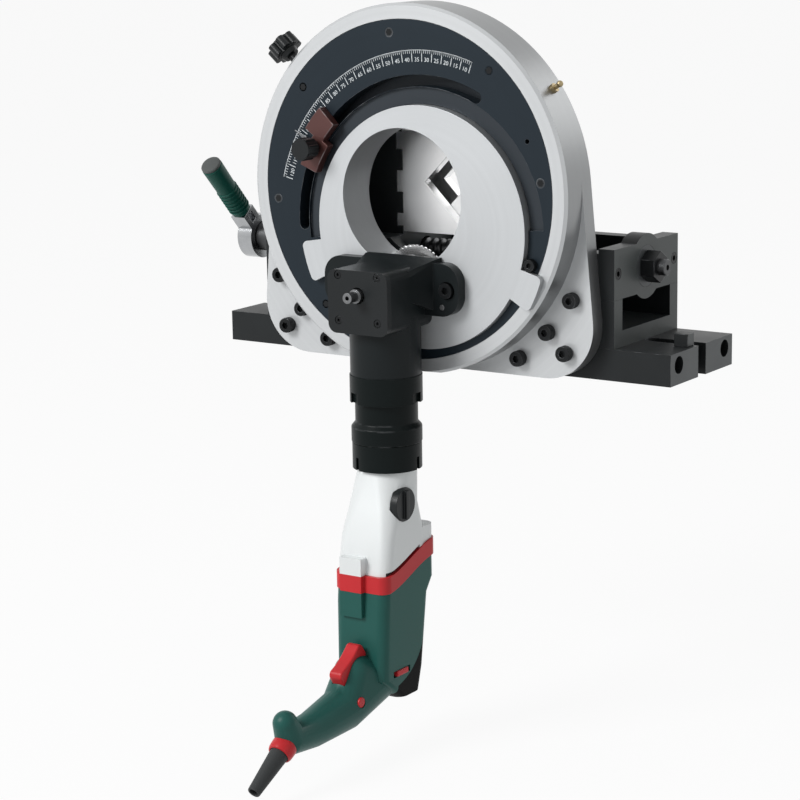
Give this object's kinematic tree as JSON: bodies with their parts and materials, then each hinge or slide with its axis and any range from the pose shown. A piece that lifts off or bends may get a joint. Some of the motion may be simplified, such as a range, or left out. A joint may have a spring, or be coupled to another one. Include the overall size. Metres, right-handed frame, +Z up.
{
  "type": "orbital pipe cutter",
  "caption": "Orbital pipe cutter: a bench vise with vee jaws, a round housing with a turning rotor, and an eccentric disc that feeds a motor-driven saw blade into a pipe.",
  "frame": {"origin": "on the bench face of the base, straight below the pipe axis and halfway through the depth of the base", "axes": "+X to the right along the vise screw, +Y to the back along the pipe, +Z up"},
  "size_m": [0.4782, 0.3949, 0.6276],
  "materials": {
    "cast_black": "satin black paint",
    "black_steel": "black oxide",
    "bright_steel": "ground",
    "silver_alloy": "turned and bead blasted",
    "dark_alloy": "dark anodised",
    "grey_alloy": "machined",
    "stainless": "brushed",
    "chrome": "polished",
    "bronze": "machined bronze",
    "red_alloy": "red brown anodised",
    "black_plastic": "moulded",
    "green_plastic": "moulded",
    "red_plastic": "moulded",
    "nose_alloy": "die cast, painted silver",
    "grip_rubber": "soft grip",
    "guard_rubber": "soft"
  },
  "bodies": {
    "base": {"base_plate": "cast_black", "base_stop": "cast_black", "base_screws": "black_steel", "vise_body": "cast_black", "keeper_left": "cast_black", "keeper_right": "cast_black", "keeper_screws": "black_steel", "screw_bushes": "grey_alloy", "housing": "silver_alloy", "housing_screws": "black_steel", "rotor_bush": "bronze", "grease_nipple": "bright_steel"},
    "vise_screw": {"vise_screw": "bright_steel", "drive_hex": "black_steel", "lever_clip": "bright_steel"},
    "lever": {"clamp_lever": "chrome", "lever_grip": "grip_rubber"},
    "jaw_left": {"jaw_slide_left": "cast_black", "jaw_plates_left": "stainless", "slide_nut_left": "bronze"},
    "jaw_right": {"jaw_slide_right": "cast_black", "jaw_plates_right": "stainless", "slide_nut_right": "bronze"},
    "rotor_lock": {"lock_knob": "black_plastic", "lock_stem": "bright_steel"},
    "rotor": {"rotor_plate": "dark_alloy", "rotor_body": "grey_alloy", "plate_screws_set": "black_steel", "retract_stop": "black_steel"},
    "size_stop": {"size_stop": "red_alloy", "stop_stud": "bright_steel"},
    "stop_knob": {"stop_knob": "black_plastic"},
    "head": {"eccentric_disc": "silver_alloy", "disc_retainer": "grey_alloy", "retainer_screws": "black_steel", "gearbox_housing": "cast_black", "gearbox_cover": "cast_black", "cover_screws": "bright_steel", "ear_screws": "black_steel", "ear_pins": "bright_steel", "spindle_bearings": "bright_steel", "shaft_bearings": "bright_steel", "adapter_sleeve": "cast_black", "clamp_ring": "cast_black", "gear_case": "nose_alloy", "red_band": "red_plastic", "motor_case": "green_plastic", "rear_cap": "black_plastic", "cord_ring": "red_plastic", "cord_guard": "guard_rubber"},
    "spindle": {"spindle": "bright_steel", "crown_gear": "bright_steel", "saw_blade": "bright_steel", "blade_nut": "black_steel"},
    "drive_shaft": {"drive_shaft": "bright_steel"},
    "lock_collar": {"lock_collar": "cast_black"},
    "selector": {"selector_cap": "black_plastic"},
    "trigger": {"trigger": "red_plastic"},
    "lock_button": {"lock_button": "red_plastic"},
    "direction_slider": {"direction_slider": "red_plastic"}
  },
  "joints": [
    {"name": "rotor_turn", "type": "hinge", "parent": "base", "child": "rotor", "pos_m": [0, -0.099, 0.15499], "axis": [0, 1, 0], "range_deg": [-180, 180]},
    {"name": "feed", "type": "hinge", "parent": "rotor", "child": "head", "pos_m": [0.018, -0.099, 0.12499], "axis": [0, 1, 0], "range_deg": [0, 27]},
    {"name": "blade_spin", "type": "hinge", "parent": "head", "child": "spindle", "pos_m": [0, -0.084, 0.07539], "axis": [0, 1, 0], "continuous": true},
    {"name": "drive_spin", "type": "hinge", "parent": "head", "child": "drive_shaft", "pos_m": [0, -0.13225, 0.07539], "axis": [0, 0, 1], "continuous": true},
    {"name": "size_stop_slide", "type": "hinge", "parent": "rotor", "child": "size_stop", "pos_m": [0.018, -0.099, 0.12499], "axis": [0, 1, 0], "range_deg": [-15, 80]},
    {"name": "stop_knob_turn", "type": "hinge", "parent": "size_stop", "child": "stop_knob", "pos_m": [-0.08829, -0.119, 0.18885], "axis": [0, 1, 0], "range_deg": [0, 360]},
    {"name": "rotor_lock_turn", "type": "hinge", "parent": "base", "child": "rotor_lock", "pos_m": [-0.12771, -0.0845, 0.26719], "axis": [-0.7513, 0, 0.66], "range_deg": [0, 360]},
    {"name": "jaw_left_slide", "type": "slide", "parent": "base", "child": "jaw_left", "axis": [-1, 0, 0], "range_m": [-0.009, 0.065]},
    {"name": "jaw_right_slide", "type": "slide", "parent": "base", "child": "jaw_right", "axis": [1, 0, 0], "range_m": [-0.009, 0.065]},
    {"name": "vise_screw_turn", "type": "hinge", "parent": "base", "child": "vise_screw", "pos_m": [0, 0, 0.09], "axis": [1, 0, 0], "range_deg": [-406, 2926]},
    {"name": "lever_ratchet", "type": "hinge", "parent": "vise_screw", "child": "lever", "pos_m": [-0.233, 0, 0.09], "axis": [1, 0, 0], "range_deg": [-60, 60]},
    {"name": "lock_collar_turn", "type": "hinge", "parent": "head", "child": "lock_collar", "pos_m": [0, -0.13225, -0.045], "axis": [0, 0, 1], "range_deg": [0, 40]},
    {"name": "selector_turn", "type": "hinge", "parent": "head", "child": "selector", "pos_m": [0.025, -0.14575, -0.10661], "axis": [1, 0, 0], "range_deg": [0, 90]},
    {"name": "trigger_press", "type": "slide", "parent": "head", "child": "trigger", "axis": [0, 0.5592, -0.829], "range_m": [0, 0.005], "stiffness_N_per_m": 400},
    {"name": "lock_button_press", "type": "slide", "parent": "head", "child": "lock_button", "axis": [-1, 0, 0], "range_m": [0, 0.002], "stiffness_N_per_m": 600},
    {"name": "direction_slide", "type": "slide", "parent": "head", "child": "direction_slider", "axis": [0, 1, 0], "range_m": [-0.004, 0.004]}
  ],
  "couplings": [
    {"joint": "jaw_right_slide", "follows": "jaw_left_slide", "ratio": 1},
    {"joint": "vise_screw_turn", "follows": "jaw_left_slide", "rad_per_m": 785.4},
    {"joint": "drive_spin", "follows": "blade_spin", "ratio": 2}
  ]
}
